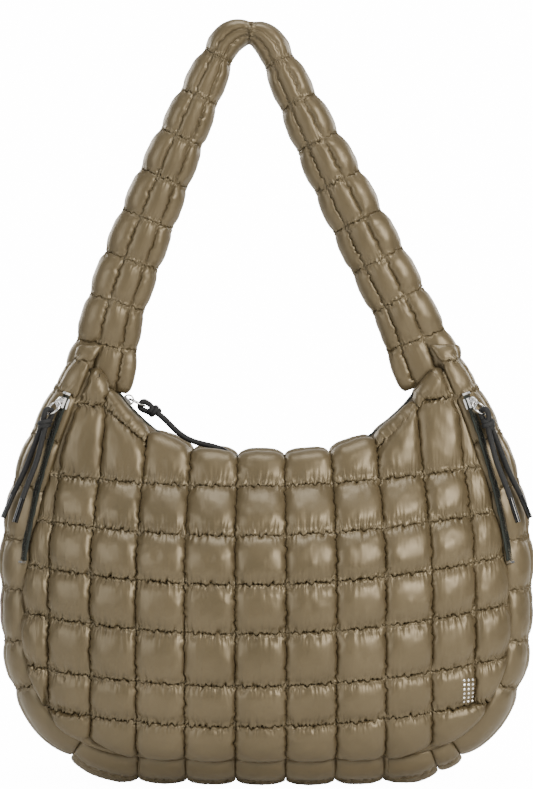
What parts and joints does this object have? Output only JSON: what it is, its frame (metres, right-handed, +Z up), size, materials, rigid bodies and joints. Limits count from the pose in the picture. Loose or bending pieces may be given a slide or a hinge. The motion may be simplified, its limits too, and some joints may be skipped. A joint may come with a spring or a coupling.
{
  "type": "hobo bag",
  "caption": "Quilted puffer hobo bag with a scooped zipped mouth, padded shoulder strap, gusset, and two side pocket zips with ring and cord pulls.",
  "frame": {"origin": "middle of the flat base, on the surface the bag stands on", "axes": "+Z up, -Y out of the front, +X to the right seen from the front"},
  "size_m": [0.5614, 0.236, 0.789],
  "materials": {
    "quilted_nylon": "satin quilted nylon",
    "wadding": "soft polyester wadding",
    "lining": "plain woven lining",
    "zip_tape": "woven tape",
    "zip_coil": "nylon coil",
    "pull_metal": "polished nickel",
    "cord": "braided cord",
    "cord_tip": "gloss",
    "stud_metal": "polished studs"
  },
  "bodies": {
    "bag": {"front_shell": "quilted_nylon", "back_shell": "quilted_nylon", "left_gusset_shell": "quilted_nylon", "right_gusset_shell": "quilted_nylon", "bottom_gusset_shell": "quilted_nylon", "front_wadding": "wadding", "back_wadding": "wadding", "left_gusset_wadding": "wadding", "right_gusset_wadding": "wadding", "bottom_gusset_wadding": "wadding", "front_lining": "lining", "back_lining": "lining", "left_gusset_lining": "lining", "right_gusset_lining": "lining", "bottom_gusset_lining": "lining", "front_seam_binding": "lining", "back_seam_binding": "lining", "inner_slip_pocket": "lining", "left_pocket_bag": "lining", "right_pocket_bag": "lining", "left_strap_root": "quilted_nylon", "right_strap_root": "quilted_nylon", "top_zip_front_facing": "lining", "top_zip_back_facing": "lining", "top_zip_tapes": "zip_tape", "top_zip_coils": "zip_coil", "top_zip_stops": "pull_metal", "left_zip_tapes": "zip_tape", "left_zip_coils": "zip_coil", "left_zip_stops": "pull_metal", "right_zip_tapes": "zip_tape", "right_zip_coils": "zip_coil", "right_zip_stops": "pull_metal", "emblem_studs": "stud_metal"},
    "strap": {"strap_shell": "quilted_nylon", "strap_wadding": "wadding"},
    "top_slider": {"top_zip_slider": "pull_metal"},
    "top_ring": {"top_zip_ring": "pull_metal"},
    "top_cord": {"top_zip_cord": "cord", "top_zip_tips": "cord_tip"},
    "left_slider": {"left_zip_slider": "pull_metal"},
    "left_ring": {"left_zip_ring": "pull_metal"},
    "left_cord": {"left_zip_cord": "cord", "left_zip_tips": "cord_tip"},
    "right_slider": {"right_zip_slider": "pull_metal"},
    "right_ring": {"right_zip_ring": "pull_metal"},
    "right_cord": {"right_zip_cord": "cord", "right_zip_tips": "cord_tip"}
  },
  "joints": [
    {"name": "strap_fold", "type": "hinge", "parent": "bag", "child": "strap", "pos_m": [0, 0, 0.485], "axis": [1, 0, 0], "range_deg": [-105, 105]},
    {"name": "top_zip_slide", "type": "hinge", "parent": "bag", "child": "top_slider", "pos_m": [0, 0, 0.516], "axis": [0, -1, 0], "range_deg": [0, 100.5]},
    {"name": "top_ring_flip", "type": "hinge", "parent": "top_slider", "child": "top_ring", "pos_m": [-0.14274, 0, 0.39784], "axis": [0, -1, 0], "range_deg": [0, 100]},
    {"name": "top_cord_swing", "type": "hinge", "parent": "top_ring", "child": "top_cord", "pos_m": [-0.12738, 0, 0.39055], "axis": [0, -1, 0], "range_deg": [0, 34]},
    {"name": "left_zip_slide", "type": "hinge", "parent": "bag", "child": "left_slider", "pos_m": [0.54138, -0.0579, 0.12118], "axis": [0, -0.9953, 0.0972], "range_deg": [0, 11.3]},
    {"name": "left_ring_swing", "type": "hinge", "parent": "left_slider", "child": "left_ring", "pos_m": [-0.2137, -0.03396, 0.39559], "axis": [-0.5654, 0.8149, 0.1277], "range_deg": [0, 90]},
    {"name": "left_cord_swing", "type": "hinge", "parent": "left_ring", "child": "left_cord", "pos_m": [-0.22437, -0.03948, 0.38357], "axis": [-0.5654, 0.8149, 0.1277], "range_deg": [0, 65]},
    {"name": "right_zip_slide", "type": "hinge", "parent": "bag", "child": "right_slider", "pos_m": [-0.54138, -0.0579, 0.12118], "axis": [0, 0.9953, -0.0972], "range_deg": [0, 11.3]},
    {"name": "right_ring_swing", "type": "hinge", "parent": "right_slider", "child": "right_ring", "pos_m": [0.2137, -0.03396, 0.39559], "axis": [-0.5654, -0.8149, -0.1277], "range_deg": [0, 90]},
    {"name": "right_cord_swing", "type": "hinge", "parent": "right_ring", "child": "right_cord", "pos_m": [0.22437, -0.03948, 0.38357], "axis": [-0.5654, -0.8149, -0.1277], "range_deg": [0, 65]}
  ],
  "couplings": [
    {"joint": "top_ring_flip", "follows": "top_zip_slide", "ratio": 0.99501}
  ]
}
